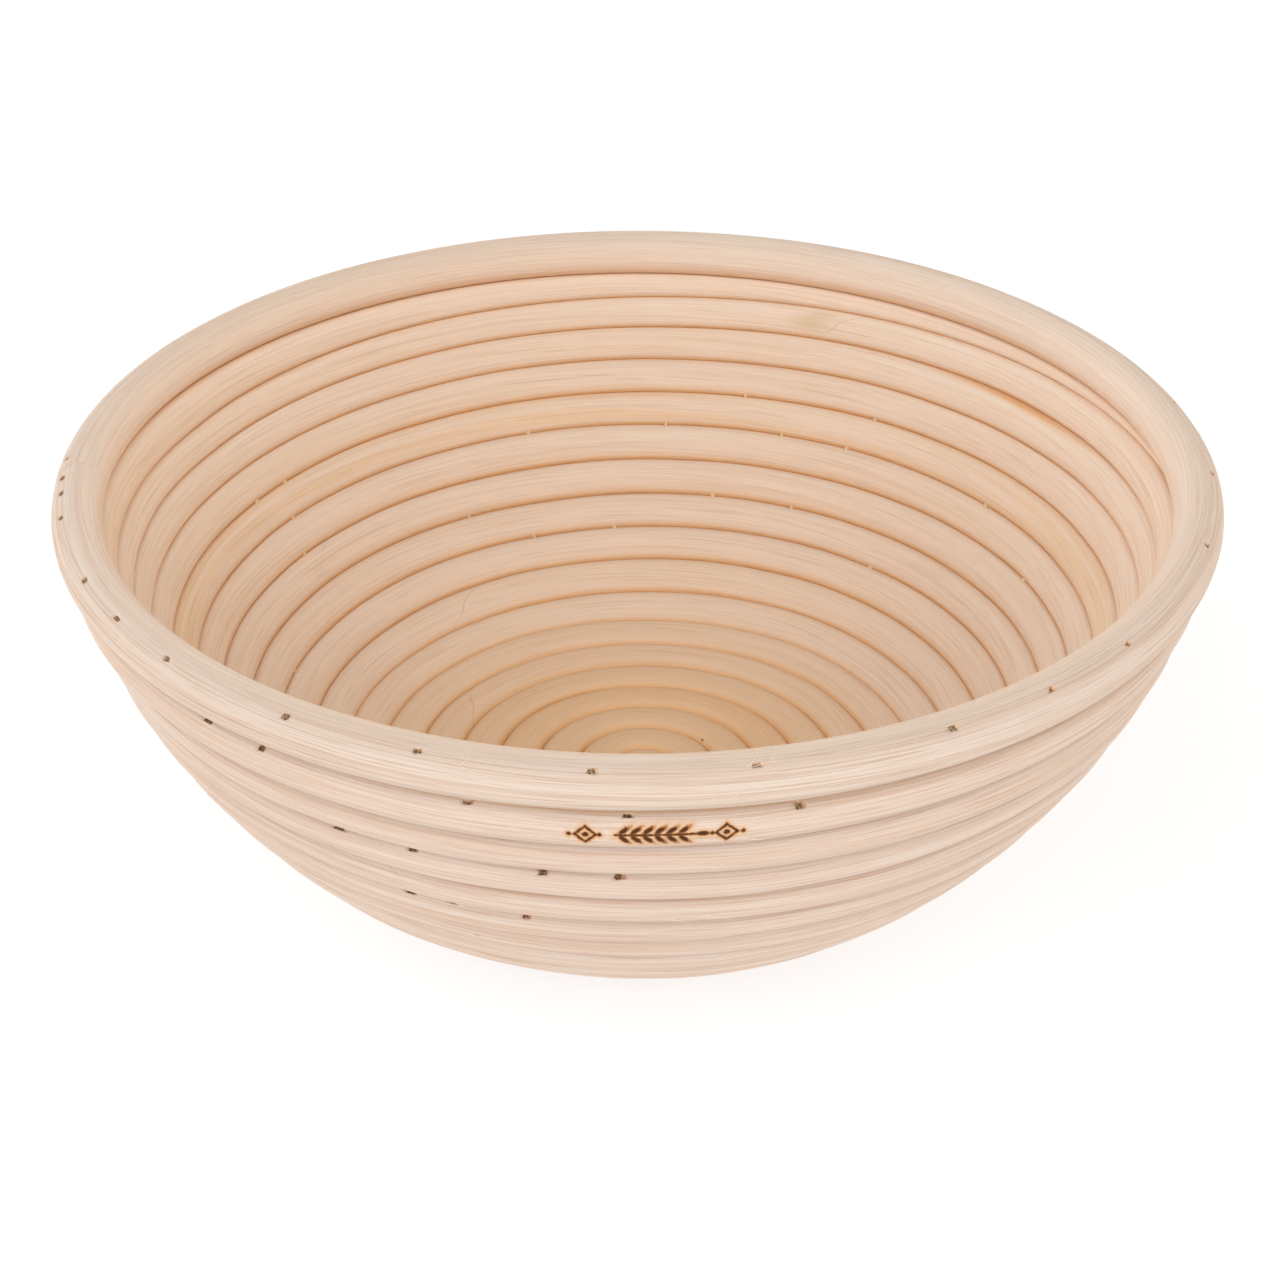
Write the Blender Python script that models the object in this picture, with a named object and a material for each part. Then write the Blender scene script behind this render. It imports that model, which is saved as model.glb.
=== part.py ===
"""Round proving basket (banneton), coiled from rattan cane.

Lengths of cane, spliced end to end, are wound into one spiral that starts in the middle of
the base, turns up into the wall and runs out under the rim. A thicker cane closes the top as
a ring. Small wooden pins hold each row to the row under it. All sizes are in metres, +Z is
up, and the origin is the centre of the underside.
"""

import math

import bmesh
import bpy
import numpy as np
from mathutils import Matrix, Vector

MM = 0.001

# Driving dimensions of the basket.
OUTER_DIAMETER = 250 * MM
RIM_RADIUS = 5.1 * MM  # section of the rim cane
ROW_PITCH = 9.37 * MM  # one row of wall cane and the gap beside it
GAP = 0.3 * MM  # kept between neighbouring pieces

# The wall seen in section: how steep it is, from level, at distances down it from the rim.
SLOPE_AT = [mm * MM for mm in (0, 23, 47, 70, 89, 103, 112, 122)]
SLOPE_DEGREES = (76.3, 67.8, 57.6, 48.9, 36.6, 11.4, 4.9, 0.0)
PROFILE_STEP = 0.05 * MM
PROFILE_LENGTH = 180 * MM

# The spiral. A place on it is counted in turns from its upper end, against its climb.
TAIL_ANGLE = math.radians(-7.5)  # where the last row runs out under the rim
TAIL_TURNS = 0.45  # part of a turn over which the last row thins out
TAIL_POWER = 0.65  # how early the last row thins
TAIL_SOFTENING = 0.02  # keeps the start of the tail from a sharp kink
SETTLING = 0.68  # part of the tail's uneven climb that each row hands on to the next
TAIL_START = 0.012  # turns from the very tip, where the tail is cut off blunt
ROUND_FROM = 10  # turns from the tip, from where the rows are as thick as they are wide
DRIFT = 3.5 * MM  # how far off centre, towards +Y, the spiral on the base lies
DRIFT_FROM = 88 * MM  # distance down the wall at which the rows have drifted that far
ASKEW_UNTIL = 122 * MM  # down to here a drifted row lies askew on the turned wall
SHIFTED_FROM = 150 * MM  # and from here on it is shifted sideways as it is
AXIS_CLEARANCE = 0.35 * MM  # the innermost turn leaves a pinhole on the axis
END_WIDTH = 4.6 * MM  # width of the thinned inner end
SPLICES = (1.199, 3.71, 6.43, 9.37, 12.42)  # where one length of cane meets the next
SPLICE_REACH = 8 * MM  # half the length of a slanting splice
SPLICE_SLIT = 0.62 * MM  # measured along the cane, about 0.3 mm across the slant
SPLICE_FADE = 4.0  # the slant fades out over this many times its reach

# How finely the canes are faceted.
ROW_SIDES = 8
RIM_SIDES = 12
WALL_STEPS = 48
BASE_STEPS = 40
LEAST_STEP = 0.45  # shortest step beside an end, as a part of a full one
SHARP_EDGE = math.radians(50)
BISECTIONS = 40

# The rim ring meets its own end in a nearly square joint.
RIM_SEAM_ANGLE = math.radians(182.6)
RIM_SEAM_REACH = 1.2 * MM
RIM_SEAM_SLIT = 0.32 * MM

# Square wooden pins, driven down along the wall from the outer shoulder of a cane.
PIN_WIDTH = 1.7 * MM
PIN_LENGTH = 14.5 * MM
PIN_RECESS = 0.6 * MM
HOLE_WIDTH = PIN_WIDTH + 2 * GAP
HOLE_OVERRUN = 1.1 * MM
RIM_PIN_LEAN = math.radians(20)  # shoulder, outward from straight up the wall
ROW_PIN_LEAN = math.radians(34)
RIM_PIN_DEGREES = (
    (12, 27, 43, 58, 72, 88, 103, 119, 133, 148, 164)
    + (180.6, 184.6, 188, 193, 206, 214, 223, 238, 251, 266, 280, 298, 309, 320, 341, 356)
)
ROW_PIN_DEGREES = {
    0: (227, 234, 255, 269, 284),
    2: (240, 248, 261, 268),
    4: (245, 250, 258),
}

ROW_RADIUS = (ROW_PITCH - GAP) / 2
RIM_CENTRE_RADIUS = OUTER_DIAMETER / 2 - RIM_RADIUS
CANE_NAMES = (
    "top_wall_cane",
    "upper_wall_cane",
    "middle_wall_cane",
    "lower_wall_cane",
    "base_edge_cane",
    "base_centre_cane",
)


def turned_profile():
    """Distance down the wall, radius, height and slope of the middle of the canes."""
    arc = np.arange(0.0, PROFILE_LENGTH, PROFILE_STEP)
    slope = np.radians(np.interp(arc, SLOPE_AT, SLOPE_DEGREES))
    inward = np.cumsum(np.cos(slope)) * PROFILE_STEP
    downward = np.cumsum(np.sin(slope)) * PROFILE_STEP
    radius = RIM_CENTRE_RADIUS + inward[0] - inward
    height = ROW_RADIUS + downward[-1] - downward
    return arc, radius, height, slope


ARC, RADIUS, HEIGHT, SLOPE = turned_profile()
AXIS_ARC = float(np.interp(0.0, -RADIUS, ARC))


def on_profile(arc):
    """Radius, height and slope of the wall's middle at a distance down it."""
    return tuple(float(np.interp(arc, ARC, column)) for column in (RADIUS, HEIGHT, SLOPE))


def tail_rise(part):
    """How thick the last row is, from 0 at its tip to 1, at a part of a turn from the tip."""
    reach = min(part / TAIL_TURNS, 1.0)
    low = TAIL_SOFTENING**TAIL_POWER
    high = (1.0 + TAIL_SOFTENING) ** TAIL_POWER
    return ((reach + TAIL_SOFTENING) ** TAIL_POWER - low) / (high - low)


def groove(turn):
    """Distance down the wall of the groove above the row at this place on the spiral.

    The last row lies in a wedge under the rim. The rows below it take up the wedge's uneven
    climb bit by bit, until the spiral climbs evenly. The rows also drift off centre.
    """
    start = RIM_RADIUS + GAP / 2
    if turn < 1:
        return start
    whole = math.floor(turn)
    part = turn - whole
    climb = part + (tail_rise(part) - part) * SETTLING ** (whole - 1)
    even = start + ROW_PITCH * (whole - 1 + climb)
    return even - drift(even) * askew_share(even) * math.sin(row_angle(turn))


def drift(arc):
    """How far a row at this distance down the wall lies off centre, towards +Y."""
    return DRIFT * min(arc / DRIFT_FROM, 1.0)


def askew_share(arc):
    """Part of the drift that a row takes by climbing on one side and dipping on the other."""
    return min(max((SHIFTED_FROM - arc) / (SHIFTED_FROM - ASKEW_UNTIL), 0.0), 1.0)


def row_section(turn):
    """Middle of the row, as a distance down the wall, and its half width and half height."""
    upper = groove(turn)
    lower = min(groove(turn + 1), AXIS_ARC - AXIS_CLEARANCE)
    half_width = (lower - upper - GAP) / 2
    half_height = ROW_RADIUS
    if turn < ROUND_FROM:
        half_height = math.sqrt(half_width * ROW_RADIUS)
    # Where the wall bends, the flat sides of two rows lean together, so each gives way a little.
    bend = on_profile(upper)[2] - on_profile(lower)[2]
    lean = half_height * math.tan(math.pi / ROW_SIDES) * math.sin(bend / 2)
    return (upper + lower) / 2, half_width - lean, half_height


def around(radius, height, angle):
    """Point at a radius and height, turned to an angle about the basket's axis."""
    return Vector((radius * math.cos(angle), radius * math.sin(angle), height))


def section_point(arc, half_width, half_height, turned, angle):
    """Point on a cane's section: 'turned' is 0 down the wall and a quarter turn outward."""
    radius, height, slope = on_profile(arc)
    along = half_width * math.cos(turned)
    out = half_height * math.sin(turned)
    radius += out * math.sin(slope) - along * math.cos(slope)
    height -= out * math.cos(slope) + along * math.sin(slope)
    beside = arc + along
    shift = drift(beside) * (1.0 - askew_share(beside))
    return around(radius, height, angle) + Vector((0.0, shift, 0.0))


def section_angles(sides):
    """Corner angles of a section that has a flat side towards each neighbour."""
    return [(k + 0.5) * math.tau / sides for k in range(sides)]


def row_angle(turn):
    return TAIL_ANGLE + turn * math.tau


def row_ring(turn, slant=0.0):
    """Corners of the wall cane's section. A slant carries its two sides along the cane."""
    ring = []
    swell = 1 / math.cos(math.pi / ROW_SIDES)
    for turned in section_angles(ROW_SIDES):
        place = turn + slant * math.cos(turned)
        arc, half_width, half_height = row_section(place)
        ring.append(
            section_point(arc, half_width * swell, half_height * swell, turned, row_angle(place))
        )
    return ring


def turns_along(length, turn):
    """A length along the cane, as a part of a turn."""
    return length / (math.tau * on_profile(row_section(turn)[0])[0])


def cane_rings(first, last):
    """Rings along one length of cane, from one splice to the next."""
    steps = BASE_STEPS if first == SPLICES[-1] else WALL_STEPS
    start, end = first, last
    reach_first = reach_last = 0.0
    if first in SPLICES:
        start += turns_along(SPLICE_SLIT, first) / 2
        reach_first = turns_along(SPLICE_REACH, first)
    if last in SPLICES:
        end -= turns_along(SPLICE_SLIT, last) / 2
        reach_last = turns_along(SPLICE_REACH, last)
    clear = LEAST_STEP / steps
    places = [
        k / steps
        for k in range(math.ceil(start * steps), math.floor(end * steps) + 1)
        if start + clear < k / steps < end - clear
    ]
    rings = []
    for turn in [start] + places + [end]:
        slant = fading(reach_first, turn - start) + fading(reach_last, end - turn)
        rings.append(row_ring(turn, slant))
    return rings


def fading(reach, distance):
    """The slant of a splice, which fades out along the cane so that no step grows long."""
    if reach == 0.0:
        return 0.0
    return reach * max(0.0, 1.0 - distance / (SPLICE_FADE * reach))


def find_inner_end():
    """Place on the spiral where the cane has thinned to END_WIDTH beside the axis."""
    low, high = SPLICES[-1], AXIS_ARC / ROW_PITCH + 2
    for _ in range(BISECTIONS):
        middle = (low + high) / 2
        width = AXIS_ARC - AXIS_CLEARANCE - groove(middle) - GAP
        low, high = (middle, high) if width > END_WIDTH else (low, middle)
    return low


INNER_END = find_inner_end()


def rim_rings():
    """Rings of the rim cane, once round from its seam."""
    swell = RIM_RADIUS / math.cos(math.pi / RIM_SIDES)
    step = math.tau / WALL_STEPS
    slit = RIM_SEAM_SLIT / 2 / RIM_CENTRE_RADIUS
    reach = RIM_SEAM_REACH / RIM_CENTRE_RADIUS
    first = math.ceil((RIM_SEAM_ANGLE + slit + reach) / step)
    places = [(RIM_SEAM_ANGLE + slit, reach)]
    places += [(k * step, 0.0) for k in range(first, first + WALL_STEPS)]
    places.append((RIM_SEAM_ANGLE + math.tau - slit, reach))
    return [
        [
            section_point(0.0, swell, swell, turned, angle + slant * math.sin(turned))
            for turned in section_angles(RIM_SIDES)
        ]
        for angle, slant in places
    ]


def mesh_through(name, rings):
    """Closed mesh through rings of points, with a fan of triangles over each end."""
    sides = len(rings[0])
    shape = bmesh.new()
    loops = [[shape.verts.new(point) for point in ring] for ring in rings]
    for one, two in zip(loops, loops[1:]):
        for k in range(sides):
            beside = (k + 1) % sides
            shape.faces.new((one[k], one[beside], two[beside], two[k]))
    for loop in (loops[0], loops[-1]):
        middle = shape.verts.new(sum((corner.co for corner in loop), Vector()) / sides)
        for k in range(sides):
            shape.faces.new((loop[k], loop[(k + 1) % sides], middle))
    bmesh.ops.recalc_face_normals(shape, faces=shape.faces[:])
    return finish_mesh(name, shape)


def finish_mesh(name, shape):
    mesh = bpy.data.meshes.new(name)
    shape.to_mesh(mesh)
    shape.free()
    return mesh


def add_block(shape, width, low, high, place):
    """Adds a square bar to a bmesh: its length runs from low to high along the place's Z."""
    size = Matrix.Diagonal((width, width, high - low, 1.0))
    centre = Matrix.Translation((0.0, 0.0, (low + high) / 2))
    bmesh.ops.create_cube(shape, size=1.0, matrix=place @ centre @ size)


def pin_place(arc, radius, lean, target_arc, angle):
    """Frame of a pin: its origin is where its axis leaves the cane, and +Z points out."""
    entry = section_point(arc, radius, radius, math.pi - lean, angle)
    target = section_point(target_arc, 0.0, 0.0, 0.0, angle)
    out = (entry - target).normalized()
    side = Vector((-math.sin(angle), math.cos(angle), 0.0))
    turned = Matrix((side, out.cross(side), out)).transposed().to_4x4()
    return Matrix.Translation(entry) @ turned


def rim_pin_places():
    target = RIM_RADIUS + GAP + ROW_RADIUS
    return [
        pin_place(0.0, RIM_RADIUS, RIM_PIN_LEAN, target, math.radians(degrees))
        for degrees in RIM_PIN_DEGREES
    ]


def row_pin_places():
    places = []
    for whole, angles in ROW_PIN_DEGREES.items():
        for degrees in angles:
            turn = whole + (math.radians(degrees) - TAIL_ANGLE) / math.tau
            arc, half_width, _ = row_section(turn)
            target = row_section(turn + 1)[0]
            angle = math.radians(degrees)
            places.append(pin_place(arc, half_width, ROW_PIN_LEAN, target, angle))
    return places


def hole_cutter(name, places):
    """One helper mesh that holds the bars of all these pins' holes."""
    shape = bmesh.new()
    for place in places:
        add_block(shape, HOLE_WIDTH, -PIN_RECESS - PIN_LENGTH - GAP, HOLE_OVERRUN, place)
    cutter = bpy.data.objects.new(name, finish_mesh(name, shape))
    cutter.hide_render = True
    cutter.display_type = "WIRE"
    return cutter


def make_material(name, colour, roughness):
    material = bpy.data.materials.new(name)
    material.use_nodes = True
    shader = material.node_tree.nodes["Principled BSDF"]
    shader.inputs["Base Color"].default_value = (*colour, 1.0)
    shader.inputs["Roughness"].default_value = roughness
    shader.inputs["Metallic"].default_value = 0.0
    return material


def add_piece(name, mesh, material, parent):
    piece = bpy.data.objects.new(name, mesh)
    bpy.context.scene.collection.objects.link(piece)
    piece.parent = parent
    if not mesh.materials:
        mesh.materials.append(material)
    return piece


def cut(piece, cutter):
    modifier = piece.modifiers.new(cutter.name, "BOOLEAN")
    modifier.operation = "DIFFERENCE"
    modifier.solver = "EXACT"
    modifier.object = cutter


def add_cane(name, rings, material, parent):
    mesh = mesh_through(name, rings)
    mesh.shade_smooth()
    mesh.set_sharp_from_angle(angle=SHARP_EDGE)
    return add_piece(name, mesh, material, parent)


def add_pins(stem, places, mesh, material, parent):
    for number, place in enumerate(places, start=1):
        pin = add_piece(f"{stem}_{number:02d}", mesh, material, parent)
        pin.matrix_basis = place


def pin_mesh():
    shape = bmesh.new()
    add_block(shape, PIN_WIDTH, -PIN_RECESS - PIN_LENGTH, -PIN_RECESS, Matrix.Identity(4))
    return finish_mesh("pin", shape)


def build():
    for old in list(bpy.data.objects):
        bpy.data.objects.remove(old)
    basket = bpy.data.objects.new("basket", None)
    bpy.context.scene.collection.objects.link(basket)

    rim_cane_finish = make_material("rim_cane", (0.82, 0.66, 0.51), 0.6)
    wall_cane_finish = make_material("wall_cane", (0.79, 0.61, 0.45), 0.65)
    pin_finish = make_material("pin_wood", (0.62, 0.42, 0.26), 0.75)

    rim = add_cane("rim_cane", rim_rings(), rim_cane_finish, basket)
    ends = (TAIL_START,) + SPLICES + (INNER_END,)
    canes = [
        add_cane(name, cane_rings(first, last), wall_cane_finish, basket)
        for name, first, last in zip(CANE_NAMES, ends, ends[1:])
    ]

    rim_holes = hole_cutter("rim_pin_holes", rim_pin_places())
    row_holes = hole_cutter("row_pin_holes", row_pin_places())
    for cutter in (rim_holes, row_holes):
        bpy.context.scene.collection.objects.link(cutter)
        cutter.parent = basket
    for piece in (rim, canes[0], canes[1]):
        cut(piece, rim_holes)
    for piece in canes[:3]:
        cut(piece, row_holes)

    mesh = pin_mesh()
    add_pins("rim_pin", rim_pin_places(), mesh, pin_finish, basket)
    add_pins("row_pin", row_pin_places(), mesh, pin_finish, basket)


build()
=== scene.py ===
"""Looks of the round proving basket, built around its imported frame.

Each cane of the frame is replaced by a fine one that runs on the same line: nearly round, touching
its neighbours, a little uneven, with fibres along it. The pins are replaced by split wooden ones that
sit in torn holes. Sizes are in metres and angles in radians, unless a name or comment says otherwise.
Places on the spiral are given in turns, counted from its tail under the rim.
"""

import math

import bmesh
import bpy
import numpy as np
from mathutils import Matrix, Vector


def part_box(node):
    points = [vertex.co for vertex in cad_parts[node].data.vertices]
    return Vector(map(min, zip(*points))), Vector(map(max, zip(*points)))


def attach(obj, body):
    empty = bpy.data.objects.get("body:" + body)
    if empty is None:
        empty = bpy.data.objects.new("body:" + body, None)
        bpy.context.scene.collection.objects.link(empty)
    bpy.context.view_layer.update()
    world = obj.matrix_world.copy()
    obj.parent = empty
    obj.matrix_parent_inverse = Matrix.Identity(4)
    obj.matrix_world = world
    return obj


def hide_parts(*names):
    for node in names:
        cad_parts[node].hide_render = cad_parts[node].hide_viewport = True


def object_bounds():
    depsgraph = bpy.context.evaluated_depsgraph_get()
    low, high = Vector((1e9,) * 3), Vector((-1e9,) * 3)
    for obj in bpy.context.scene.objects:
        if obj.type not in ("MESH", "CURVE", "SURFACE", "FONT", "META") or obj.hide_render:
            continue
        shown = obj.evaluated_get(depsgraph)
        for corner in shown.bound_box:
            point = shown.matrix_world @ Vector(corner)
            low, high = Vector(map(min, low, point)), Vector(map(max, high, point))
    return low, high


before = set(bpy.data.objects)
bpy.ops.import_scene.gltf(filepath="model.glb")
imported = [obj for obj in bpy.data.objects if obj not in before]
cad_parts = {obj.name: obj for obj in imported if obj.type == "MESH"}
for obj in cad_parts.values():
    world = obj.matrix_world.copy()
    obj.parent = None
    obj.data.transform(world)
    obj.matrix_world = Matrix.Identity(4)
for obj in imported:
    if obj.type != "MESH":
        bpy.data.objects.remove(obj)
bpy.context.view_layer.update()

MM = 0.001


def tone(red, green, blue):
    """Scene colour that shows as this screen colour, each part from 0 to 255, in full light."""
    shares = np.array((red, green, blue)) / 255
    linear = np.where(shares <= 0.04045, shares / 12.92, ((shares + 0.055) / 1.055) ** 2.4)
    return (*linear.tolist(), 1.0)


# The wall and the spiral, as the frame was designed.
ROW_PITCH = 9.37 * MM
GAP = 0.3 * MM  # between the canes of the frame
SLOPE_AT = [mm * MM for mm in (0, 23, 47, 70, 89, 103, 112, 122)]  # down the wall
SLOPE_DEGREES = (76.3, 67.8, 57.6, 48.9, 36.6, 11.4, 4.9, 0.0)  # at those distances
PROFILE_STEP = 0.05 * MM
PROFILE_LENGTH = 180 * MM
TAIL_ANGLE = math.radians(-7.5)  # round the axis, from the right
TAIL_TURNS = 0.45  # in which the tail comes to its full width
TAIL_POWER = 0.65
TAIL_SOFTENING = 0.02
SETTLING = 0.68  # share of the tail's step that is left in each next row
TAIL_START = 0.012  # turn where the tail is thick enough to be made
ROUND_FROM = 10  # turn from which every row has its full height
DRIFT = 3.5 * MM  # of the base towards the back
DRIFT_FROM = 88 * MM  # down the wall, where the drift is complete
ASKEW_UNTIL = 122 * MM  # down to here the rows lie askew on the wall
SHIFTED_FROM = 150 * MM  # and from here the wall itself is shifted
AXIS_CLEARANCE = 0.35 * MM  # between the innermost row and the axis
END_WIDTH = 4.6 * MM  # of the cane where it ends beside the axis
SPLICES = (1.199, 3.71, 6.43, 9.37, 12.42)  # turns
RIM_SEAM_ANGLE = math.radians(182.6)
RIM_FRAME_SIDES = 12  # of the section of the frame's rim
ROW_RADIUS = (ROW_PITCH - GAP) / 2
CANE_NAMES = (
    "top_wall_cane",
    "upper_wall_cane",
    "middle_wall_cane",
    "lower_wall_cane",
    "base_edge_cane",
    "base_centre_cane",
)

# How the real canes differ from the frame's: they touch, and nothing about them is quite even.
PRESSED = 0.12 * MM  # neighbouring canes are pressed this far into each other
FULLNESS = 2.2  # of the outer side; 2 is a round section, more is a squarer one
INNER_FULLNESS = 3.1  # of the inner side, which is flatter
WANDER_PEAK = 0.7  # keeps most of a random function between -1 and 1
GROOVE_WANDER = 0.24 * MM  # up and down the wall
WANDER_FROM, WANDER_RISE = 1.05, 0.4  # turns: where the grooves begin to wander
WANDER_UNTIL, WANDER_FALL = 15.5, 3  # and where they have ceased to
SIDE_WANDER = 0.22 * MM  # of the rows, in and out
THICKNESS_WANDER = 0.012  # of the canes, as a share
FLAT_FROM = 118 * MM  # down the wall; from here the canes of the flat base are even
FLAT_FADE = 20 * MM  # over which they become so
FLUTE_DEPTH = 0.018 * MM
FLUTES = 11  # sets of ridges along a cane
FEWEST_FLUTES = 4  # ridges of the first set; each next one has one more
FLUTE_TURNING = 6.0  # radians of a ridge by which a set shifts in a metre, to either side or not
FLUTE_PEAK = 1.5  # the sum is divided by this, so that it stays mostly between -1 and 1
ROW_FLUTE_SEED = 14
RIM_FLUTE_SEED = 15
TWIST = 2.2  # radians that the fibres turn round the cane in a metre
RING_SPACING = 1.6 * MM
END_RINGS = (0.0, 0.12, 0.35, 0.7, 1.3)  # places of the first rings, in end roundings
SPIRAL_STEPS = 4000
SHARP_DEGREES = 50
ROW_SIDES = 40
RIM_SIDES = 60
RIM_CORNER = 0.07  # how far the rim's inner side fills the corner over the first row
RIM_SWELL = 0.14 * MM
RIM_TRIM = 0.06 * MM
RIM_FIBRE_START = -2.0  # keeps the rim's fibres apart from those of the rows
SPLICE_REACH = 8 * MM
SPLICE_SLIT = 0.06 * MM
SPLICE_FADE = 4.0  # splice reaches in which the slant is gone
SEAM_REACH = 1.2 * MM
SEAM_SLIT = 0.25 * MM
END_ROUNDING = 0.12 * MM
END_INSET = 0.8  # of the last ring, in end roundings

# The pins, and the holes that they were driven into.
PIN_LENGTH = 14.5 * MM
PIN_RECESS = 0.6 * MM  # of the frame's pins under the cane's surface
PIN_HALF_WIDTH = 0.85 * MM
PIN_CORNERS = 12
PIN_TIP = (0.35 * MM, 0.3 * MM)
PIN_RINGS = ((-13.4, 0.75), (-11.5, 1.0), (-8.0, 1.0), (-4.5, 1.0), (-1.6, 1.0))  # height in mm, share
PIN_HEAD = (0.97, 0.9, -0.42)  # shares of the half width, and height in mm
PIN_HEAD_CORE = 0.55  # share of the head left at its broken top
PIN_HEAD_SPLIT_MM = (-0.45, 0.2)
PIN_CORE_SPLIT_MM = (-0.35, 0.3)
HOLE_HALF_WIDTHS_MM = (0.6, 0.95)
HOLE_HALF_DEPTHS_MM = (0.38, 0.62)
HOLE_TEARS_MM = ((0.3, 0.9), (-0.3, 0.3))  # sideways, and up or down
HOLE_SEED, PIN_SEED = 0, 200  # to which the pin's number is added
ROW_SEED_STEP = 100  # and this too for a row's pin
# Rings of a hole: shares of its half width and half depth, height in mm, jitter and tearing.
HOLE_RINGS = (
    (0.9, 1.0, -3.4, 0.12, 0.0),
    (0.95, 1.0, -1.1, 0.12, 0.0),
    (1.0, 1.05, -0.45, 0.2, 0.3),
    (1.25, 1.15, 0.1, 0.25, 1.0),
    (1.6, 1.4, 1.6, 0.25, 1.6),
)
# The split wall below is darkened with painted shade of the recess; the torn cane at the mouth is not.
HOLE_RING_LOOKS = (0, 0, 1, 1, 1)  # split wall below, torn cane at the mouth
ROW_PIN_CANES = {
    "top_wall_cane": range(1, 6),
    "upper_wall_cane": range(6, 10),
    "middle_wall_cane": range(10, 13),
}
# Pins that cross from row to row and show in the grooves inside: groove, then degrees round.
CROSSING_PINS = {
    4: (151, 145, 75, 56),
    5: (146.5, 106, 86, 69, 59, 34),
    6: (148, 20),
    7: (118, 78, 65),
    8: (166, 108, 94, 48),
}
CROSSING_DEPTH = 2.6 * MM  # of their middles, inward of the wall's middle line
CROSSING_HALF_WIDTHS_MM = (0.4, 0.6)
CROSSING_HALF_HEIGHT = 0.8 * MM
CROSSING_RINGS = ((-2.6, 0.7), (-1.0, 1.0), (1.0, 1.0), (2.6, 0.7))  # mm along, share
CROSSING_SEED = 31

# Fuzzy places: degrees round the rim or turn on the spiral, angle round the cane, and fibres.
RIM_FUZZ = (
    (280.5, 2.75, 7),
    (278.0, 1.7, 3),
    (292.5, 2.6, 3),
    (256.0, 2.7, 3),
    (215.0, 2.2, 2),
    (183.5, 3.0, 3),
)
ROW_FUZZ = (
    (0.742, 1.9, 3),
    (0.795, 1.05, 3),
    (2.715, 1.7, 3),
    (3.79, 1.6, 4),
    (1.79, 1.8, 3),
    (1.70, 1.6, 2),
)
HAIR_STEPS = 8
HAIR_SIDES = 5
HAIR_TAPER = 0.75
HAIR_ROOT_LIFT = 0.02 * MM
SINGLE_HAIRS = 34
HAIR_SEED = 51
SINGLE_TURNS = (1.0, 6.0)
OUTER_SHARE = 0.95  # of the single ones
OUTER_TURNED = (0.9, 2.7)
INNER_TURNED = (0.6, 2.4)  # to the other side
HAIR_SPREAD_MM, HAIR_SPREAD_ROUND = 1.6, 0.12  # about their places
HAIR_LENGTHS_MM = (1.2, 4.2)
HAIR_LIFTS = (0.1, 0.6)  # how steeply they leave the cane
HAIR_SWEEPS = (-1.4, 1.4)
HAIR_SIDESTEP = 0.8
HAIR_THICKNESSES_MM = (0.05, 0.09)

# The burned ornament on the front of the first row.
MARK_TURN = 0.7753
MARK_TURNED = math.radians(103)
MARK_HALF_LENGTH = 16.0 * MM
MARK_HALF_HEIGHT = 2.0 * MM
MARK_MARGIN = 1.2 * MM
MARK_STEP = 0.12 * MM
MARK_LIFT = 0.11 * MM
MARK_DEPTH = 0.09 * MM
MARK_EDGE_SUNK = 0.06 * MM
MARK_THICKNESS = 0.25 * MM  # under the skin
MARK_SLOPE = 0.3  # mm over which a burned line sinks
MARK_RAGGED = 0.05  # mm
# The parts of the ornament, in millimetres.
EAR_STEM = (7.2, 0.14)
EAR_PAIRS = 6
EAR_START, EAR_STEP = -5.6, 2.1
EAR_GRAIN = (1.05, 0.36)
EAR_GRAIN_OUT = 0.85
EAR_GRAIN_LEAN = 0.62
EAR_TIP, EAR_TIP_SIZE = 8.2, (1.1, 0.4)
LOZENGE_AT, LOZENGE_SIZE, LOZENGE_STROKE = 12.4, (1.9, 1.5), 0.17
LOZENGE_SLANT = 0.8  # about how much nearer a slanted side is than it is straight across
# Dots: distance from the middle, and half sizes.
DOTS = ((12.4, (0.5, 0.42)), (15.3, (0.32, 0.32)), (9.9, (0.3, 0.3)))

# Noise in the cane: features a metre along it and across it.
BROAD_GRAIN = (5, 500)
STREAK_GRAIN = (14, 2300)
FINE_GRAIN = (45, 5600)
SLOW_GRAIN = (3.5, 40)
FUZZ_GRAIN = (2600, 5200)
CRUSHED_GRAIN = (900, 260)
BURN_GRAIN = (1500, 2600)
CANE_ROUGHNESS = (0.72, 0.9)
CANE_SPECULAR = 0.2
WOOD_SPECULAR = 0.25
WOOD_ROUGHNESS_SPAN = 0.1
CANE_BUMP = {"Strength": 0.8, "Distance": 0.11 * MM}
WOOD_BUMP = {"Strength": 0.6, "Distance": 0.15 * MM}

# Tones of the cane: cream, peach, straw, brown fibres, painted shade for the grooves and the deep
# bowl, warm like bounced light, painted grey shade for the lower outside, inner cream and straw.
RIM_COLOURS = (
    tone(240, 222, 206),
    tone(232, 206, 185),
    tone(230, 199, 172),
    tone(206, 167, 137),
    tone(240, 202, 164),
    tone(186, 167, 150),
    tone(248, 228, 208),
    tone(240, 204, 156),
)
WALL_COLOURS = (
    tone(241, 222, 206),
    tone(234, 205, 181),
    tone(234, 197, 154),
    tone(210, 169, 134),
    tone(241, 196, 140),
    tone(191, 177, 171),
    tone(250, 230, 210),
    tone(244, 206, 160),
)
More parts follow.
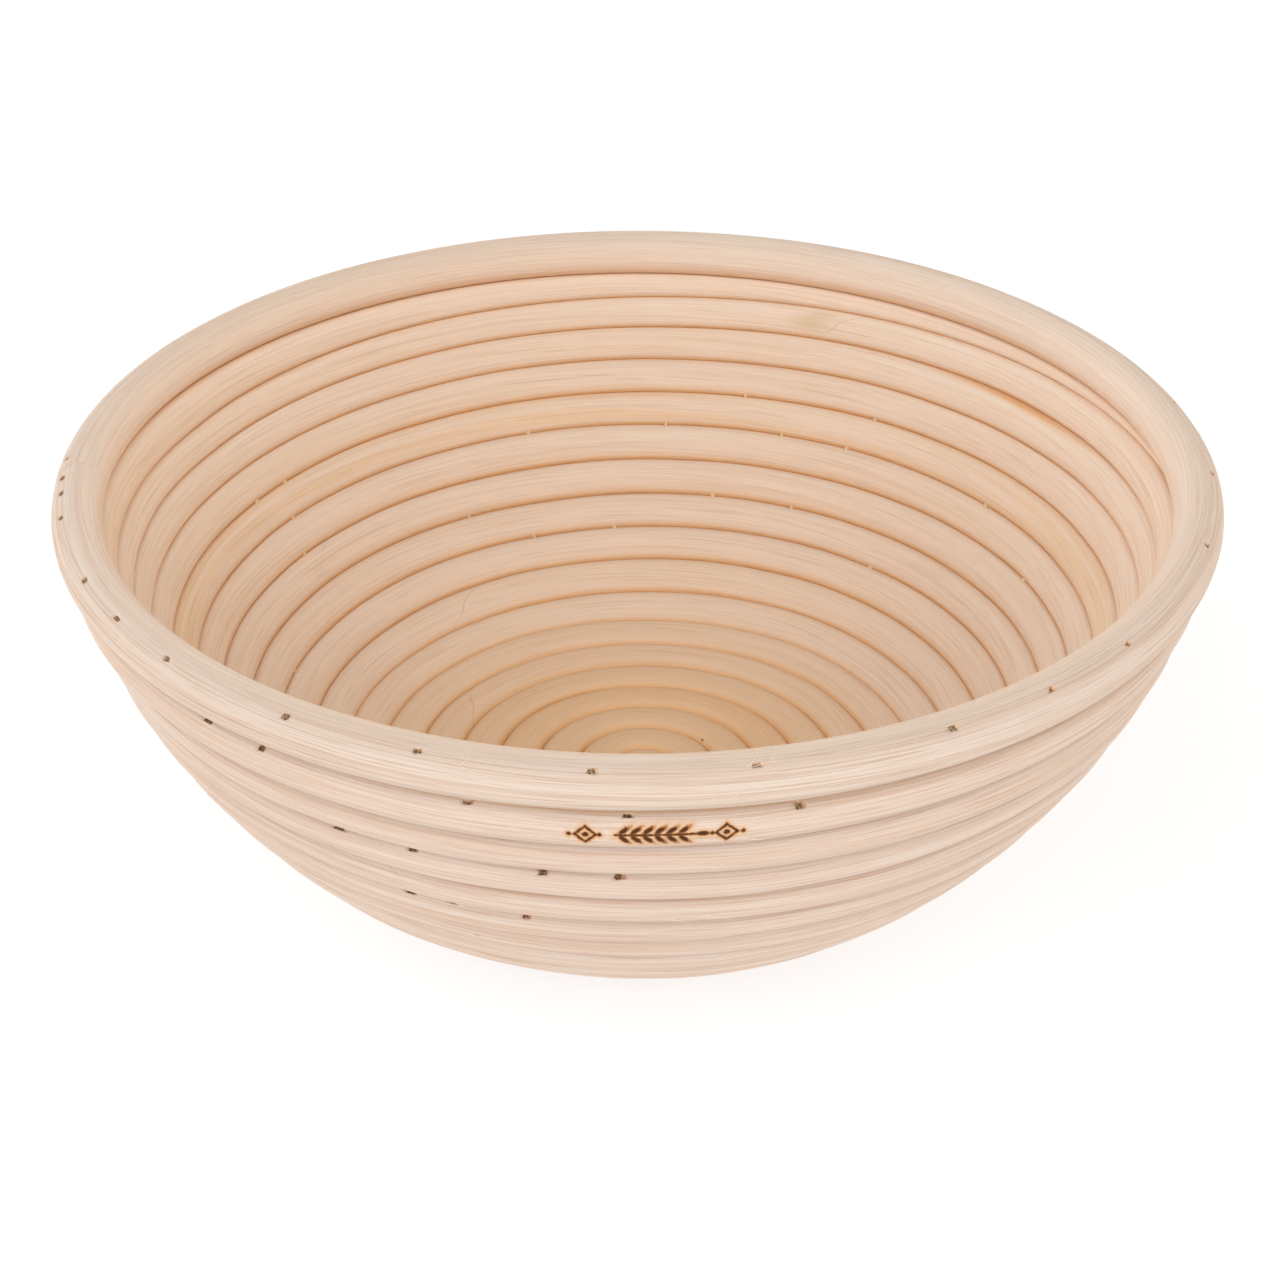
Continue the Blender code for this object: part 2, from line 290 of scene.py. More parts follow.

# Natural marks, and one painted shadow along a groove: turn, angle round the cane, half length, half
# width, strength and colour.
BLEMISHES_AND_PAINTED_SHADOW = (
    (1.208, -1.62, 9.0 * MM, 3.0 * MM, 0.42, tone(204, 178, 120)),
    (1.203, -2.10, 7.0 * MM, 2.0 * MM, 0.36, tone(210, 176, 124)),
    # Painted shadow, not a mark of the cane: an orange shade along the groove above this row, on its
    # inner side.
    (2.118, -2.50, 42 * MM, 2.5 * MM, 0.85, tone(230, 172, 112)),
    (13.343, -0.45, 27 * MM, 1.5 * MM, 0.55, tone(212, 150, 92)),
    (13.270, -2.20, 20 * MM, 1.4 * MM, 0.50, tone(216, 158, 104)),
    (15.120, -0.75, 0.9 * MM, 0.65 * MM, 0.95, tone(122, 78, 48)),
    (2.767, 2.45, 1.5 * MM, 0.35 * MM, 0.75, tone(150, 96, 60)),
    (2.690, 2.50, 1.2 * MM, 0.30 * MM, 0.60, tone(170, 112, 72)),
    (5.720, 1.80, 1.0 * MM, 0.35 * MM, 0.60, tone(160, 104, 66)),
    (4.300, 1.70, 1.2 * MM, 0.40 * MM, 0.60, tone(160, 104, 66)),
)
# Distances from a burned line, in mm, where a tone starts and where it is full; its share; the tone.
SCORCHES = (
    (0.95, 0.15, 0.55, tone(226, 170, 104)),
    (0.32, 0.05, 0.85, tone(176, 106, 44)),
    (0.12, -0.10, 1.0, tone(84, 48, 24)),
)
SCORCH_UNEVEN = 0.25  # mm

# The stage.
FLOOR_HALF = 6.0
FLOOR_GAP = 0.02 * MM
FLOOR_BASE = (0.32, 0.322, 0.325, 1.0)
FLOOR_GLOW = 0.74
FLOOR_ROUGHNESS = 0.9
WHITE = (1.0, 1.0, 1.0, 1.0)
SKY_DEGREES = (15, 50)  # of elevation, between which the sky fades
SKY_STRENGTHS = (0.95, 0.06)
SENSOR_MM = 36.0
LENS_MM = 79.695
CAMERA_PLACE = (0.0005, -0.5443, 0.3724)
CAMERA_DOWN_DEGREES = 31.11
LIGHT_SIZE = 1.2
LIGHT_DISTANCE = 1.7
COOL, PLAIN = (0.95, 1.0, 1.07), (1.0, 1.0, 1.0)
CREAM, AMBER = (1.0, 0.95, 0.86), (1.0, 0.84, 0.60)
# Soft boxes: degrees round the axis and up, watts and colour.
SOFT_BOXES = {
    "front": (254, 52, 12.0, COOL),
    "front_right": (310, 52, 5.0, CREAM),
    "left": (176, 26, 2.2, PLAIN),
    "back_left": (135, 16, 9.5, PLAIN),
    "back_right": (48, 18, 6.5, AMBER),
}


def wander(seed, shortest, longest, waves=8):
    """A smooth random function of a place, mostly between -1 and 1 and the same in each run.

    Shortest and longest are the lengths of its waves, in the places' own unit.
    """
    draw = np.random.default_rng(seed)
    lengths = np.geomspace(shortest, longest, waves)
    phases = draw.uniform(0, math.tau, waves)
    shares = WANDER_PEAK * lengths**0.5 / np.linalg.norm(lengths**0.5)

    def value(place):
        total = np.zeros_like(place)
        for length, phase, share in zip(lengths, phases, shares):
            total += share * np.sin(math.tau * place / length + phase)
        return total

    return value


# The line of the spiral.


def turned_profile():
    """Distance down the wall, radius, height and slope of the middle of the canes."""
    low, high = (np.array(corner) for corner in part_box("rim_cane"))
    rim_radius = (high[2] - low[2]) / 2 * math.cos(math.pi / RIM_FRAME_SIDES)
    rim_centre_radius = (high[0] - low[0]) / 2 - (high[2] - low[2]) / 2
    arc = np.arange(0.0, PROFILE_LENGTH, PROFILE_STEP)
    slope = np.radians(np.interp(arc, SLOPE_AT, SLOPE_DEGREES))
    inward = np.cumsum(np.cos(slope)) * PROFILE_STEP
    downward = np.cumsum(np.sin(slope)) * PROFILE_STEP
    radius = rim_centre_radius + inward[0] - inward
    height = ROW_RADIUS + downward[-1] - downward
    return rim_radius, arc, radius, height, slope


RIM_RADIUS, ARC, RADIUS, HEIGHT, SLOPE = turned_profile()
AXIS_ARC = float(np.interp(0.0, -RADIUS, ARC))


def on_profile(arc):
    """Radius, height and slope of the wall's middle at distances down it."""
    return tuple(np.interp(arc, ARC, column) for column in (RADIUS, HEIGHT, SLOPE))


def tail_rise(part):
    reach = np.minimum(part / TAIL_TURNS, 1.0)
    low = TAIL_SOFTENING**TAIL_POWER
    high = (1.0 + TAIL_SOFTENING) ** TAIL_POWER
    return ((reach + TAIL_SOFTENING) ** TAIL_POWER - low) / (high - low)


def row_angle(turn):
    return TAIL_ANGLE + turn * math.tau


def drift(arc):
    return DRIFT * np.minimum(arc / DRIFT_FROM, 1.0)


def askew_share(arc):
    return np.clip((SHIFTED_FROM - arc) / (SHIFTED_FROM - ASKEW_UNTIL), 0.0, 1.0)


groove_wander = wander(11, 0.05, 1.1, 10)  # of places in turns, as are the next ones


def groove(turn):
    """Distance down the wall of the groove above the row at places on the spiral, in turns."""
    start = RIM_RADIUS + GAP / 2
    whole = np.maximum(np.floor(turn), 1.0)
    part = turn - whole
    rise = part + (tail_rise(np.maximum(part, 0.0)) - part) * SETTLING ** (whole - 1)
    even = start + ROW_PITCH * (whole - 1 + rise)
    askew = drift(even) * askew_share(even) * np.sin(row_angle(turn))
    settled = np.clip((turn - WANDER_FROM) / WANDER_RISE, 0.0, 1.0)
    settled = settled * np.clip((WANDER_UNTIL - turn) / WANDER_FALL, 0.0, 1.0)
    uneven = GROOVE_WANDER * groove_wander(turn) * settled
    return np.where(turn < 1, start, even - askew + uneven)


def row_section(turn):
    """Middle of the row, as a distance down the wall, and its half width and half height."""
    upper = groove(turn)
    lower = np.minimum(groove(turn + 1), AXIS_ARC - AXIS_CLEARANCE)
    half_width = (lower - upper) / 2
    mean = np.sqrt(np.maximum(half_width, GAP) * ROW_RADIUS)
    return (upper + lower) / 2, half_width, np.where(turn < ROUND_FROM, mean, ROW_RADIUS)


def on_wall(arc, along, out, angle):
    """Points at distances along and out from the wall's middle line, at angles round the axis."""
    radius, height, slope = on_profile(arc)
    radius = radius + out * np.sin(slope) - along * np.cos(slope)
    height = height - out * np.cos(slope) - along * np.sin(slope)
    beside = arc + along
    shift = drift(beside) * (1.0 - askew_share(beside))
    x, y = radius * np.cos(angle), radius * np.sin(angle) + shift
    return np.stack(np.broadcast_arrays(x, y, height), axis=-1)


def squared(share, turned):
    """A cosine or sine for a section that is a little fuller than round, most so inside."""
    fullness = np.where(np.sin(turned) < 0, INNER_FULLNESS, FULLNESS)
    return np.sign(share) * np.abs(share) ** (2 / fullness)


side_wander = wander(12, 0.04, 0.6)
thickness_wander = wander(13, 0.06, 0.9)
rim_wander = wander(16, 0.1, 0.5)


def flutes(turned, along, seed):
    """Fine ridges along the cane, as a share of their depth."""
    draw = np.random.default_rng(seed)
    total = 0.0
    numbers = draw.permutation(np.arange(FEWEST_FLUTES, FEWEST_FLUTES + FLUTES))
    phases = draw.uniform(0, math.tau, FLUTES)
    for number, phase in zip(numbers, phases):
        turning = FLUTE_TURNING * along * (number % 3 - 1)
        total = total + np.sin(number * turned + phase + turning)
    return total / FLUTES**0.5 / FLUTE_PEAK


def row_surface(turn, turned, along):
    """Points on the wall cane. Turned is 0 down the wall and a quarter turn outward."""
    arc, half_width, half_height = row_section(turn)
    free = np.clip((FLAT_FROM - arc) / FLAT_FADE, 0.0, 1.0)
    swell = 1.0 + THICKNESS_WANDER * thickness_wander(turn) * free
    ridges = flutes(turned + TWIST * along, along, ROW_FLUTE_SEED)
    ridge = FLUTE_DEPTH * ridges * np.sin(turned) ** 2 * free
    wide = (half_width + PRESSED) * squared(np.cos(turned), turned)
    aside = SIDE_WANDER * side_wander(turn) * free
    out = (half_height * swell + ridge) * squared(np.sin(turned), turned) + aside
    return on_wall(arc, wide, out, row_angle(turn))


def spiral_lengths():
    """Length of cane from the tail to places on the spiral, in turns."""
    turns = np.linspace(0.0, AXIS_ARC / ROW_PITCH + 2, SPIRAL_STEPS)
    radius = np.maximum(on_profile(row_section(turns)[0])[0], 1 * MM)
    steps = math.tau * (radius[1:] + radius[:-1]) / 2 * np.diff(turns)
    return turns, np.concatenate([[0.0], np.cumsum(steps)])


TURNS, LENGTHS = spiral_lengths()


def length_at(turn):
    return np.interp(turn, TURNS, LENGTHS)


def turn_at(length):
    return np.interp(length, LENGTHS, TURNS)


def inner_end():
    """Place on the spiral where the cane has thinned to END_WIDTH beside the axis."""
    turns = np.linspace(SPLICES[-1], TURNS[-1], SPIRAL_STEPS)
    widths = AXIS_ARC - AXIS_CLEARANCE - groove(turns) - GAP
    return float(turns[np.argmax(widths < END_WIDTH)])


# Meshes.


def closed_mesh(name, rings, values):
    """Closed mesh through rings of points, with named vectors for its corners.

    Rings is rings x sides x 3, and so is each of the values.
    """
    count, sides = rings.shape[:2]
    ends = [rings[:1].mean(1), rings[-1:].mean(1)]
    points = np.concatenate([rings.reshape(-1, 3)] + ends)
    ring, side = np.meshgrid(np.arange(count - 1), np.arange(sides), indexing="ij")
    one, beside = ring * sides + side, ring * sides + (side + 1) % sides
    quads = np.stack([one, beside, beside + sides, one + sides], axis=-1).reshape(-1, 4)
    corners = np.arange(sides)
    after = (corners + 1) % sides
    last = (count - 1) * sides
    middle = count * sides
    front = np.stack([after, corners, np.full(sides, middle)], axis=-1)
    back = np.stack([last + corners, last + after, np.full(sides, middle + 1)], axis=-1)
    a, b, c = (points[quads[:, k]] for k in (0, 1, 2))
    if np.sum(a * np.cross(b, c)) < 0:
        quads, front, back = quads[:, ::-1], front[:, ::-1], back[:, ::-1]
    mesh = bpy.data.meshes.new(name)
    mesh.from_pydata(points, [], quads.tolist() + front.tolist() + back.tolist())
    corner_points = np.empty(len(mesh.loops), dtype=np.int32)
    mesh.loops.foreach_get("vertex_index", corner_points)
    for label, field in values.items():
        ends = [field[:1].mean(1), field[-1:].mean(1)]
        whole = np.concatenate([field.reshape(-1, 3)] + ends)
        layer = mesh.attributes.new(label, "FLOAT_VECTOR", "CORNER")
        layer.data.foreach_set("vector", whole[corner_points].astype(np.float32).ravel())
    mesh.shade_smooth()
    mesh.set_sharp_from_angle(angle=math.radians(SHARP_DEGREES))
    return mesh


def add_piece(name, mesh, materials, slot, *nodes):
    """Adds a piece that rides on the basket and stands for these nodes of the frame."""
    piece = bpy.data.objects.new(name, mesh)
    bpy.context.scene.collection.objects.link(piece)
    for material in materials:
        mesh.materials.append(material)
    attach(piece, "root")
    if nodes:
        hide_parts(*nodes)
    return piece


def ring_lengths(first, last):
    """Places of rings along a length of cane, closer together at its rounded ends."""
    ends = np.array(END_RINGS) * END_ROUNDING
    count = round((last - first) / RING_SPACING)
    middle = np.linspace(first + RING_SPACING, last - RING_SPACING, count)
    return np.concatenate([first + ends, middle, last - ends[::-1]])


def rounded_ends(lengths):
    """Share of the full section at rings near the two ends."""
    inset = np.minimum(lengths - lengths[0], lengths[-1] - lengths)
    missing = np.clip(1.0 - inset / END_ROUNDING, 0.0, 1.0)
    return 1.0 - (1.0 - np.sqrt(1.0 - missing**2)) * END_ROUNDING / ROW_RADIUS * END_INSET


def fading(reach, distance):
    """The slant of a splice, which fades out along the cane."""
    return reach * np.clip(1.0 - distance / (SPLICE_FADE * SPLICE_REACH), 0.0, 1.0)


def fibre_place(along, turned, radius):
    """Place on the cane's surface for its fibres: along it, and a point on its section."""
    turned = turned + TWIST * along
    fields = (along, radius * np.cos(turned), radius * np.sin(turned))
    return np.stack(np.broadcast_arrays(*fields), axis=-1)


def wall_cane_mesh(name, first, last):
    start, end = length_at(first), length_at(last)
    reach_first = SPLICE_REACH if first in SPLICES else 0.0
    reach_last = SPLICE_REACH if last in SPLICES else 0.0
    start += SPLICE_SLIT / 2 if reach_first else 0.0
    end -= SPLICE_SLIT / 2 if reach_last else 0.0
    lengths = ring_lengths(start, end)
    turned = (np.arange(ROW_SIDES) + 0.5)[None, :] * math.tau / ROW_SIDES
    slant = fading(reach_first, lengths - start) + fading(reach_last, end - lengths)
    along = lengths[:, None] + slant[:, None] * np.cos(turned)
    turn = turn_at(along)
    rings = row_surface(turn, turned, along)
    full = rounded_ends(lengths)[:, None, None]
    rings = rings.mean(1, keepdims=True) * (1 - full) + rings * full
    side = np.stack(np.broadcast_arrays(np.cos(turned), np.sin(turned), turn), axis=-1)
    values = {"cane": fibre_place(along, turned, ROW_RADIUS), "side": side}
    return closed_mesh(name, rings, values)


def rim_surface(turned, along):
    """Points on the rim cane, at lengths along it from its seam."""
    centre = on_profile(0.0)[0]
    ridge = FLUTE_DEPTH * flutes(turned + TWIST * along, along, RIM_FLUTE_SEED)
    swell = 1.0 + THICKNESS_WANDER * rim_wander(along / (math.tau * centre))
    size = (RIM_RADIUS + RIM_SWELL) * swell + ridge - RIM_TRIM
    angle = RIM_SEAM_ANGLE + along / centre
    corner = np.maximum(np.cos(turned), 0.0) * np.maximum(-np.sin(turned), 0.0)
    size = size * (1.0 + RIM_CORNER * 2 * corner)
    return on_wall(np.zeros_like(along), size * np.cos(turned), size * np.sin(turned), angle)


def rim_mesh(name):
    """The rim cane, once round from its seam, where its two ends differ a little in thickness."""
    centre = on_profile(0.0)[0]
    whole = math.tau * centre
    lengths = ring_lengths(SEAM_SLIT / 2, whole - SEAM_SLIT / 2)
    turned = (np.arange(RIM_SIDES) + 0.5)[None, :] * math.tau / RIM_SIDES
    slant = fading(SEAM_REACH, lengths) + fading(SEAM_REACH, whole - lengths)
    along = lengths[:, None] + slant[:, None] * np.sin(turned)
    rings = rim_surface(turned, along)
    full = rounded_ends(lengths)[:, None, None]
    rings = rings.mean(1, keepdims=True) * (1 - full) + rings * full
    place = np.zeros_like(along)
    side = np.stack(np.broadcast_arrays(np.cos(turned), np.sin(turned), place), axis=-1)
    values = {"cane": fibre_place(along + RIM_FIBRE_START, turned, RIM_RADIUS), "side": side}
    return closed_mesh(name, rings, values)


def lofted(name, rings, materials=None):
    """Closed mesh through a few rings of points, for small pieces, with its places as values.

    Materials gives the slot of the faces between each ring and the next, if not all in the first.
    """
    rings = np.asarray(rings, float)
    mesh = closed_mesh(name, rings, {"cane": rings[:, :, [2, 0, 1]]})
    if materials is not None:
        sides = rings.shape[1]
        for face in mesh.polygons:
            face.material_index = materials[min(face.index // sides, len(materials) - 1)]
    return mesh


def joined(name, meshes):
    """One mesh made of these, which are removed."""
    shape = bmesh.new()
    for mesh in meshes:
        shape.from_mesh(mesh)
        bpy.data.meshes.remove(mesh)
    whole = bpy.data.meshes.new(name)
    shape.to_mesh(whole)
    shape.free()
    return whole


# Pins.


def pin_place(node):
    """Place of a pin of the frame: its origin is where it leaves the cane, and +Z points out."""
    corners = np.array([vertex.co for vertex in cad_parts[node].data.vertices])
    middle = (corners.max(0) + corners.min(0)) / 2
    axis = np.linalg.svd(corners - middle, full_matrices=False)[2][0]
    out = Vector(axis if axis[2] > 0 else -axis).normalized()
    entry = Vector(middle) + out * (PIN_LENGTH / 2 + PIN_RECESS)
    side = Vector((0.0, 0.0, 1.0)).cross(Vector((entry.x, entry.y, 0.0))).normalized()
    side = (side - out * side.dot(out)).normalized()
    turned = Matrix((side, out.cross(side), out)).transposed().to_4x4()
    return Matrix.Translation(entry) @ turned


def rough_square(draw, half_x, half_y, height, corner=0.55, jitter=0.12):
    """Ring of points round an uneven square, for pins and their holes."""
    angles = np.arange(PIN_CORNERS) * math.tau / PIN_CORNERS + math.tau / (2 * PIN_CORNERS)
    x = np.sign(np.cos(angles)) * np.abs(np.cos(angles)) ** corner
    y = np.sign(np.sin(angles)) * np.abs(np.sin(angles)) ** corner
    wobble = 1 + draw.uniform(-jitter, jitter, PIN_CORNERS)
    return np.stack([half_x * x * wobble, half_y * y * wobble, height + 0 * x], axis=-1)


def pin_draw(node, seed):
    """Random numbers for one pin or its hole."""
    step = ROW_SEED_STEP if node.startswith("row") else 0
    return np.random.default_rng(int(node[-2:]) + seed + step)


def hole_mesh(node):
    """The torn hole of a pin: a shaft that flares at its mouth."""
    draw = pin_draw(node, HOLE_SEED)
    wide, deep = draw.uniform(*HOLE_HALF_WIDTHS_MM) * MM, draw.uniform(*HOLE_HALF_DEPTHS_MM) * MM
    torn = np.array([draw.uniform(*tears) * MM for tears in HOLE_TEARS_MM] + [0.0])
    rings = [
        rough_square(draw, wide * across, deep * up, height * MM, jitter=jitter) + torn * tearing
        for across, up, height, jitter, tearing in HOLE_RINGS
    ]
    mesh = lofted("hole", rings, HOLE_RING_LOOKS)
    mesh.transform(pin_place(node))
    return mesh


def hole_cutter(name, nodes):
    """One helper object with the holes of these pins."""
    whole = joined(name, (hole_mesh(node) for node in nodes))
    for material in (hole_wall_shaded_finish, torn_finish):
        whole.materials.append(material)
    return bpy.data.objects.new(name, whole)


def cut_holes(piece, nodes):
    """Cuts the holes of these pins into a cane, and keeps the result as its mesh."""
    cutter = hole_cutter(piece.name + "_holes", nodes)
    bpy.context.scene.collection.objects.link(cutter)
    modifier = piece.modifiers.new("holes", "BOOLEAN")
    modifier.object = cutter
    modifier.solver = "EXACT"
    modifier.material_mode = "TRANSFER"
    solid = piece.evaluated_get(bpy.context.evaluated_depsgraph_get())
    mesh = bpy.data.meshes.new_from_object(solid)
    piece.modifiers.clear()
    piece.data = mesh
    bpy.data.objects.remove(cutter)


def add_pin(node):
    """A split pin with a hacked-off head and a blunt point, in place of a pin of the frame."""
    draw = pin_draw(node, PIN_SEED)
    rings = [rough_square(draw, *PIN_TIP, -PIN_LENGTH - PIN_RECESS)]
    for height, share in PIN_RINGS:
        half = PIN_HALF_WIDTH * share
        rings.append(rough_square(draw, half, half, height * MM, jitter=0.05))
    across, up, height = PIN_HEAD
    half_x, half_y = PIN_HALF_WIDTH * across, PIN_HALF_WIDTH * up
    head = rough_square(draw, half_x, half_y, height * MM, jitter=0.1)
    head[:, 2] += draw.uniform(*PIN_HEAD_SPLIT_MM, PIN_CORNERS) * MM
    inner = head * (PIN_HEAD_CORE, PIN_HEAD_CORE, 1.0)
    inner[:, 2] += draw.uniform(*PIN_CORE_SPLIT_MM, PIN_CORNERS) * MM
    mesh = lofted(node + "_wood", rings + [head, inner])
    mesh.transform(pin_place(node))
    add_piece(node + "_wood", mesh, [pin_finish], "pin_wood", node)


def crossing_pin_mesh(draw, whole, degrees):
    """A pin across the groove above a row, at this angle round the axis."""
    turn = whole + (math.radians(degrees) - TAIL_ANGLE) / math.tau
    half = draw.uniform(*CROSSING_HALF_WIDTHS_MM) * MM
    rings = [
        rough_square(draw, half * share, CROSSING_HALF_HEIGHT * share, length * MM, jitter=0.1)
        for length, share in CROSSING_RINGS
    ]
    mesh = lofted("pin", rings)
    arc = groove(np.array(turn))
    ends = [on_wall(arc, along, -CROSSING_DEPTH, row_angle(turn)) for along in (-MM, MM)]
    inward = on_wall(arc, 0.0, -2 * CROSSING_DEPTH, row_angle(turn))
    middle = (ends[0] + ends[1]) / 2
    down = Vector(ends[1] - ends[0]).normalized()
    side = down.cross(Vector(inward - middle)).normalized()
    place = Matrix((side, down.cross(side), down)).transposed().to_4x4()
    mesh.transform(Matrix.Translation(Vector(middle)) @ place)
    return mesh


def add_crossing_pins(name):
    """The pins inside that cross from one row to the next, seen in the grooves."""
    draw = np.random.default_rng(CROSSING_SEED)
    places = [(whole, angle) for whole, degrees in CROSSING_PINS.items() for angle in degrees]
    mesh = joined(name, (crossing_pin_mesh(draw, *place) for place in places))
    add_piece(name, mesh, [crossing_finish], "pin_wood")


# The burned ornament: an ear of grain between lozenges and dots.


def ellipse_distance(u, v, middle, half, angle):
    """Rough distance outside an ellipse, negative inside."""
    du, dv = u - middle[0], v - middle[1]
    a = du * math.cos(angle) + dv * math.sin(angle)
    b = dv * math.cos(angle) - du * math.sin(angle)
    return (np.hypot(a / half[0], b / half[1]) - 1) * min(half)


def lozenge_distance(u, v, middle, half, stroke):
    """Rough distance outside the line of a lozenge, negative in it."""
    outline = (np.abs(u - middle) / half[0] + np.abs(v) / half[1] - 1) * min(half) * LOZENGE_SLANT
    return np.abs(outline) - stroke


def mark_distance(u, v):
    """Distance to the burned lines, in millimetres, at places along and up the cane."""
    reach, half = EAR_STEM
    shapes = [np.abs(v) - half + np.maximum(np.abs(u) - reach, 0.0)]
    for step in range(EAR_PAIRS):
        at = EAR_START + EAR_STEP * step
        for side in (-1, 1):
            middle = (at, side * EAR_GRAIN_OUT)
            shapes.append(ellipse_distance(u, v, middle, EAR_GRAIN, side * EAR_GRAIN_LEAN))
    shapes.append(ellipse_distance(u, v, (EAR_TIP, 0.0), EAR_TIP_SIZE, 0.0))
    for side in (-1, 1):
        shapes.append(lozenge_distance(u, v, side * LOZENGE_AT, LOZENGE_SIZE, LOZENGE_STROKE))
        for away, half_sizes in DOTS:
            shapes.append(ellipse_distance(u, v, (side * away, 0.0), half_sizes, 0.0))
    return np.minimum.reduce(shapes)


def add_mark(name):
    """A thin patch of the cane's skin with the ornament burned into it."""
    reach_u, reach_v = MARK_HALF_LENGTH + MARK_MARGIN, MARK_HALF_HEIGHT + MARK_MARGIN
    u = np.arange(-reach_u, reach_u, MARK_STEP)[:, None]
    v = np.arange(-reach_v, reach_v, MARK_STEP)[None, :]
    along = length_at(MARK_TURN) + u + 0 * v
    turned = MARK_TURNED + v / ROW_RADIUS + 0 * u
    skin = row_surface(turn_at(along), turned, along)
    normal = np.cross(np.gradient(skin, axis=0), np.gradient(skin, axis=1))
    normal /= np.linalg.norm(normal, axis=-1, keepdims=True)
    outward = skin[..., :2] * normal[..., :2]
    normal *= np.sign(outward.sum(-1).mean())
    ragged = MARK_RAGGED * wander(41, 0.3, 2.0)(u / MM)
    ragged = ragged + MARK_RAGGED * wander(42, 0.2, 1.0)(v / MM)
    distance = mark_distance(u / MM, v / MM) + ragged
    edge = np.minimum(reach_u - np.abs(u), reach_v - np.abs(v)) / MARK_MARGIN
    lift = MARK_LIFT * np.clip(edge, 0.0, 1.0) - MARK_EDGE_SUNK * np.clip(1 - edge, 0.0, 1.0)
    sunk = MARK_DEPTH * np.clip(0.5 - distance / MARK_SLOPE, 0.0, 1.0)
    top = skin + normal * (lift - sunk)[..., None]
    bottom = skin - normal * MARK_THICKNESS
    rings = np.concatenate([top, bottom[:, ::-1]], axis=1)
    side = np.stack(np.broadcast_arrays(np.cos(turned), np.sin(turned), turn_at(along)), axis=-1)
    fibre = fibre_place(along, turned, ROW_RADIUS)
    burn = np.repeat(distance[..., None], 3, axis=-1)
    values = {"cane": fibre, "side": side, "burn": burn}
    for key, field in values.items():
        values[key] = np.concatenate([field, field[:, ::-1]], axis=1)
    add_piece(name, closed_mesh(name, rings, values), [mark_finish], "wall_cane")


# Fibres that have come loose.


def hair_mesh(surface, along, turned, length, lift, sweep, thickness):
    """One fine loose fibre: a tapering tube that follows the cane and curls away from it."""
    steps = np.linspace(0.0, 1.0, HAIR_STEPS)
    places = along + length * steps * np.cos(sweep * steps)
    around = turned + length * steps * np.sin(sweep) * HAIR_SIDESTEP / ROW_RADIUS
    line = surface(around, places)
    inner = surface(around + math.pi, places)
    away = (line - inner) / np.linalg.norm(line - inner, axis=-1, keepdims=True)
    rise = length * lift * steps**2 * (1.2 - 0.5 * steps) + HAIR_ROOT_LIFT
    line = line + away * rise[:, None]
    forward = np.gradient(line, axis=0)
    forward /= np.linalg.norm(forward, axis=-1, keepdims=True)
    across = np.cross(forward, away)
    upward = np.cross(across, forward)
    angles = np.arange(HAIR_SIDES) * math.tau / HAIR_SIDES
    thick = thickness * (1.0 - HAIR_TAPER * steps)
    cosines, sines = np.cos(angles)[None, :, None], np.sin(angles)[None, :, None]
    spread = across[:, None] * cosines + upward[:, None] * sines
    return lofted("hair", line[:, None] + spread * thick[:, None, None])


def row_skin(turned, along):
    return row_surface(turn_at(along), turned, along)


def hair_places(draw):
    """Surface, length along it and angle round it for each loose fibre."""
    centre = on_profile(0.0)[0]
    wanted = []
    for degrees, turned, count in RIM_FUZZ:
        along = (math.radians(degrees) - RIM_SEAM_ANGLE) % math.tau * centre
        wanted += [(rim_surface, along, turned)] * count
    for turn, turned, count in ROW_FUZZ:
        wanted += [(row_skin, length_at(turn), turned)] * count
    for _ in range(SINGLE_HAIRS):
        outer = draw.random() < OUTER_SHARE
        turned = draw.uniform(*OUTER_TURNED) if outer else -draw.uniform(*INNER_TURNED)
        wanted.append((row_skin, length_at(draw.uniform(*SINGLE_TURNS)), turned))
    return wanted


def random_hair(draw, surface, along, turned):
    along = along + draw.normal(0.0, HAIR_SPREAD_MM) * MM
    turned = turned + draw.normal(0.0, HAIR_SPREAD_ROUND)
    length, lift = draw.uniform(*HAIR_LENGTHS_MM) * MM, draw.uniform(*HAIR_LIFTS)
    sweep, thickness = draw.uniform(*HAIR_SWEEPS), draw.uniform(*HAIR_THICKNESSES_MM) * MM
    return hair_mesh(surface, along, turned, length, lift, sweep, thickness)


def add_hairs(name):
    """Loose fibres: a few places on the front that are fuzzy, and single ones all round."""
    draw = np.random.default_rng(HAIR_SEED)
    places = hair_places(draw)
    mesh = joined(name, (random_hair(draw, *place) for place in places))
    add_piece(name, mesh, [hair_finish], "wall_cane")


# Shader nodes.


def wire(tree, kind, inputs, **settings):
    """Adds a shader node. An input is a number, a colour, or another node's output."""
    made = tree.nodes.new(kind)
    for name, value in settings.items():
        setattr(made, name, value)
    for name, value in inputs.items():
        if isinstance(value, bpy.types.NodeSocket):
            tree.links.new(value, made.inputs[name])
        else:
            made.inputs[name].default_value = value
    return made


def attribute(tree, name):
    return wire(tree, "ShaderNodeAttribute", {}, attribute_name=name).outputs["Vector"]


def grain(tree, place, per_metre, detail=2.0, roughness=0.5):
    """Noise with this many features a metre, along the cane and across it."""
    scale = (per_metre[0], per_metre[1], per_metre[1])
    at = wire(tree, "ShaderNodeVectorMath", {0: place, 1: scale}, operation="MULTIPLY").outputs[0]
    inputs = {"Vector": at, "Scale": 1.0, "Detail": detail, "Roughness": roughness}
    return wire(tree, "ShaderNodeTexNoise", inputs).outputs[0]


def level(tree, value, low, high, bottom=0.0, top=1.0):
    """Value carried from the range low to high into the range bottom to top, and held there."""
    inputs = {0: value, 1: low, 2: high, 3: bottom, 4: top}
    return wire(tree, "ShaderNodeMapRange", inputs, interpolation_type="SMOOTHSTEP").outputs[0]


def maths(tree, operation, one, two=0.0):
    return wire(tree, "ShaderNodeMath", {0: one, 1: two}, operation=operation).outputs[0]


